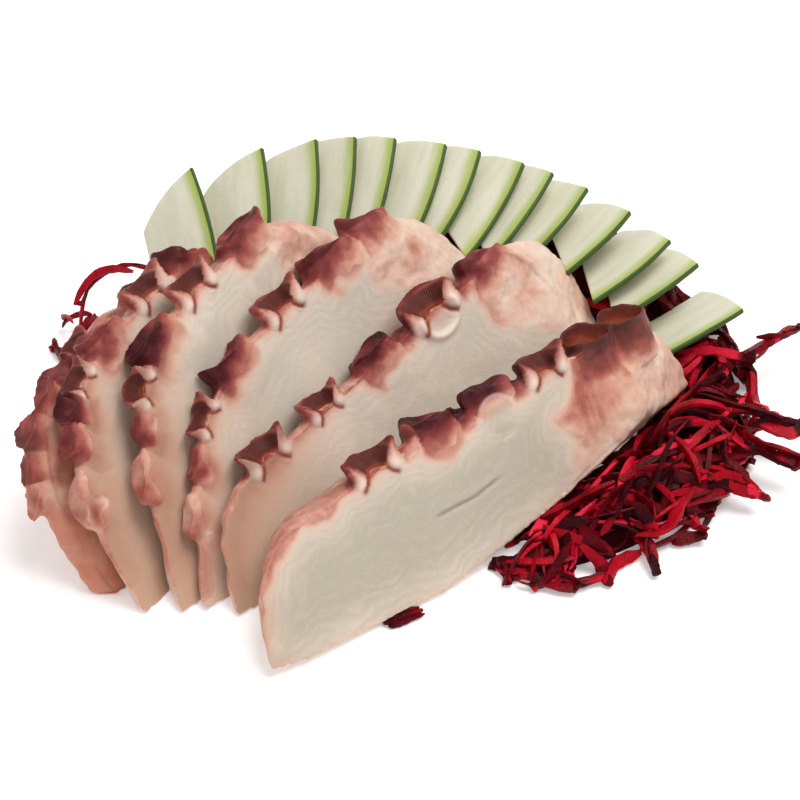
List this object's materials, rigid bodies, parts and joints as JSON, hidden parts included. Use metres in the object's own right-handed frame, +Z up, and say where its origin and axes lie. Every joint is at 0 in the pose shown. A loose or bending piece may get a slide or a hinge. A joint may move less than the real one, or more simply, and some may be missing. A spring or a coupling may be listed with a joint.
{
  "type": "sliced cooked octopus with vegetable garnish",
  "caption": "Thick cooked octopus arm in leaning sucker-rimmed slices, on shredded beet beside a fan of thin cucumber slices, to be set on a dish or board.",
  "frame": {"origin": "middle of the underside of the whole arrangement's box, at the level of the dish it rests on", "axes": "+X along the width of the arrangement to the right as served, +Y to the back where the cucumber fan stands, +Z up"},
  "size_m": [0.1344, 0.1098, 0.0377],
  "materials": {
    "cooked_octopus": "moist cooked octopus: cream cut flesh with a purple-brown skin rim and suckers",
    "cucumber": "moist cut cucumber: pale flesh with a dark green skin edge",
    "shredded_beet": "moist raw beet shreds, crimson to maroon"
  },
  "bodies": {
    "root": {"octopus_slice_1": "cooked_octopus", "octopus_slice_2": "cooked_octopus", "octopus_slice_3": "cooked_octopus", "octopus_slice_4": "cooked_octopus", "octopus_slice_5": "cooked_octopus", "octopus_slice_6": "cooked_octopus", "cucumber_slice_01": "cucumber", "cucumber_slice_02": "cucumber", "cucumber_slice_03": "cucumber", "cucumber_slice_04": "cucumber", "cucumber_slice_05": "cucumber", "cucumber_slice_06": "cucumber", "cucumber_slice_07": "cucumber", "cucumber_slice_08": "cucumber", "cucumber_slice_09": "cucumber", "cucumber_slice_10": "cucumber", "cucumber_slice_11": "cucumber", "cucumber_slice_12": "cucumber", "cucumber_slice_13": "cucumber", "cucumber_slice_14": "cucumber", "beet_bank": "shredded_beet", "beet_clump": "shredded_beet", "beet_front_bit": "shredded_beet"}
  },
  "joints": []
}
